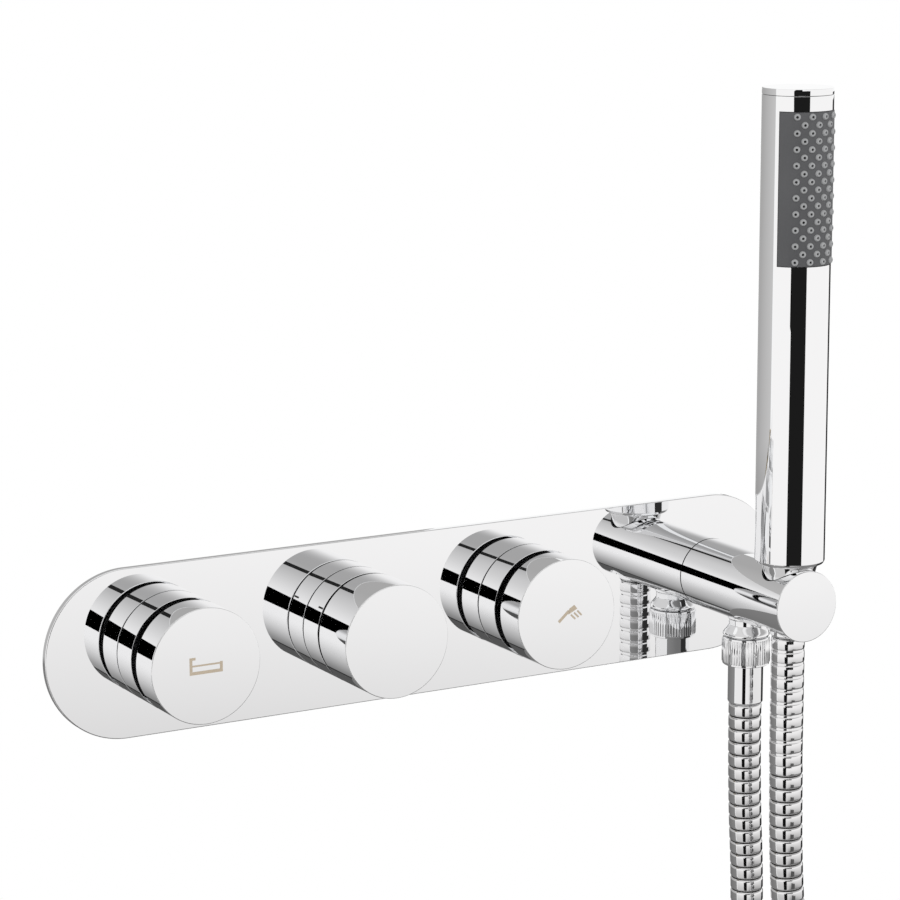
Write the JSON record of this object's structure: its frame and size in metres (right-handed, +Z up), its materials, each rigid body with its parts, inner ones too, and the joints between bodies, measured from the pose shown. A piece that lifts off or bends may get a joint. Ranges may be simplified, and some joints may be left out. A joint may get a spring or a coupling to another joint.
{
  "type": "thermostatic shower valve",
  "caption": "Concealed thermostatic shower valve: long round-ended face plate, round push-and-turn controls, a holder arm with hose outlet, ribbed hose and slim hand shower.",
  "frame": {"origin": "centre of the four main wall screws, on the back of the mounting bracket, 60 mm behind the finished wall", "axes": "+X right along the face plate as seen from the room, +Y into the wall, +Z up"},
  "size_m": [0.4642, 0.1509, 0.8224],
  "materials": {
    "chrome": "mirror-bright chrome plate",
    "hose_metal": "bright ribbed metal",
    "steel": "plain steel",
    "brass": "turned brass",
    "dark_plastic": "dark moulded plastic",
    "white_plastic": "pale moulded plastic",
    "ceramic": "ground ceramic",
    "rubber": "black rubber",
    "foam": "closed-cell foam",
    "pad_rubber": "soft grey silicone"
  },
  "bodies": {
    "valve": {"mounting_bracket": "steel", "valve_body": "brass", "body_screws": "steel", "gallery_plugs": "brass", "check_valves": "white_plastic", "inlet_filters": "steel", "face_plate": "chrome", "plate_gasket": "foam", "collar_seals": "rubber", "cartridge_nuts": "brass", "cartridge_seals": "rubber", "thermo_housing": "white_plastic", "thermo_head": "brass", "thermo_nut": "brass", "thermo_stop_ring": "dark_plastic", "holder_arm": "chrome", "holder_liner": "dark_plastic", "outlet_nipple": "chrome", "outlet_seal": "rubber", "outlet_washer": "rubber", "outlet_ferrule": "chrome", "shower_hose": "hose_metal", "bath_sleeve": "brass", "bath_collar": "chrome", "temperature_sleeve": "brass", "temperature_collar": "chrome", "shower_sleeve": "brass", "shower_collar": "chrome", "bath_cartridge": "brass", "bath_fixed_disc": "ceramic", "shower_cartridge": "brass", "shower_fixed_disc": "ceramic"},
    "temperature": {"temperature_knob": "chrome", "temperature_carrier": "dark_plastic", "temperature_grub_screw": "steel", "thermo_spindle": "brass"},
    "thermo_piston": {"thermo_shuttle": "dark_plastic", "wax_element": "brass", "thermo_spring": "steel"},
    "bath_flow": {"bath_spindle": "brass", "bath_moving_disc": "ceramic"},
    "bath_push": {"bath_button": "chrome", "bath_carrier": "dark_plastic", "bath_push_rod": "steel", "bath_spring": "steel"},
    "shower_flow": {"shower_spindle": "brass", "shower_moving_disc": "ceramic"},
    "shower_push": {"shower_button": "chrome", "shower_carrier": "dark_plastic", "shower_push_rod": "steel", "shower_spring": "steel"},
    "nut": {"outlet_nut": "chrome"},
    "handset_tail": {"handset_ferrule": "chrome", "handset_washer": "rubber"},
    "handset": {"handset_cone_nut": "chrome", "handset_body": "chrome", "handset_core": "white_plastic", "spray_pad": "pad_rubber", "handset_cap": "chrome"}
  },
  "joints": [
    {"name": "temperature_turn", "type": "hinge", "parent": "valve", "child": "temperature", "pos_m": [0, -0.064, 0], "axis": [0, -1, 0], "range_deg": [-210, 60]},
    {"name": "thermo_slide", "type": "slide", "parent": "valve", "child": "thermo_piston", "axis": [0, 1, 0], "range_m": [-0.0003, 0.0009], "deforming": ["thermo_spring"]},
    {"name": "bath_turn", "type": "hinge", "parent": "valve", "child": "bath_flow", "pos_m": [-0.095, -0.064, 0], "axis": [0, -1, 0], "range_deg": [-90, 90]},
    {"name": "bath_press", "type": "slide", "parent": "bath_flow", "child": "bath_push", "axis": [0, 1, 0], "range_m": [0, 0.005], "stiffness_N_per_m": 500, "springref_m": -0.002, "deforming": ["bath_spring"]},
    {"name": "shower_turn", "type": "hinge", "parent": "valve", "child": "shower_flow", "pos_m": [0.095, -0.064, 0], "axis": [0, -1, 0], "range_deg": [-90, 90]},
    {"name": "shower_press", "type": "slide", "parent": "shower_flow", "child": "shower_push", "axis": [0, 1, 0], "range_m": [0, 0.005], "stiffness_N_per_m": 500, "springref_m": -0.002, "deforming": ["shower_spring"]},
    {"name": "nut_turn", "type": "hinge", "parent": "valve", "child": "nut", "pos_m": [0.203, -0.097, -0.032], "axis": [0, 0, 1], "continuous": true},
    {"name": "handset_lift", "type": "slide", "parent": "valve", "child": "handset_tail", "axis": [0, 0, 1], "range_m": [0, 0.045]},
    {"name": "handset_turn", "type": "hinge", "parent": "handset_tail", "child": "handset", "pos_m": [0.203, -0.1325, 0], "axis": [0, 0, 1], "range_deg": [-180, 180]}
  ],
  "couplings": [
    {"joint": "thermo_slide", "follows": "temperature_turn", "m_per_rad": -0.000239}
  ]
}
